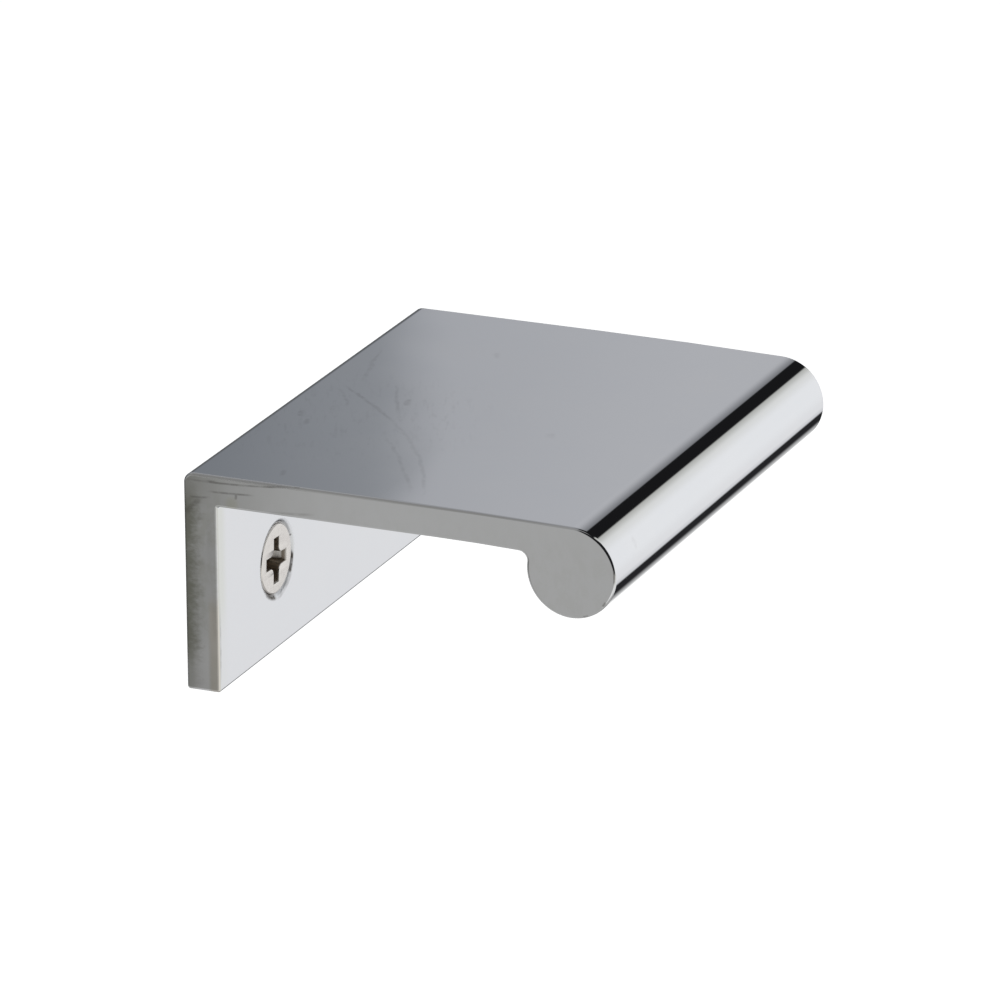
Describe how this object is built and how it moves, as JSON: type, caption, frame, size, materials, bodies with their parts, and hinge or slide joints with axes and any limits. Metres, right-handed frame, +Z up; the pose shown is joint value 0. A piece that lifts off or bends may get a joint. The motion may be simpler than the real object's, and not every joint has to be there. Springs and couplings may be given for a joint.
{
  "type": "tab pull",
  "caption": "Short cabinet pull: a flat plate on a vertical leg, with a round bead along its front edge to hook fingers behind, fixed by countersunk screws through the leg.",
  "frame": {"origin": "on the leg's back face, midway between the two screws", "axes": "+Y out of the back face into the door or drawer front, +X along the pull, +Z up; the plate stands out towards -Y"},
  "size_m": [0.05, 0.0439, 0.0199],
  "materials": {
    "polished_chrome": "mirror-polished chrome plate with faint polishing scratches",
    "nickel_plated_steel": "satin nickel-plated steel, darker inside the cross recess"
  },
  "bodies": {
    "root": {"pull_body": "polished_chrome", "mounting_screws": "nickel_plated_steel"}
  },
  "joints": []
}
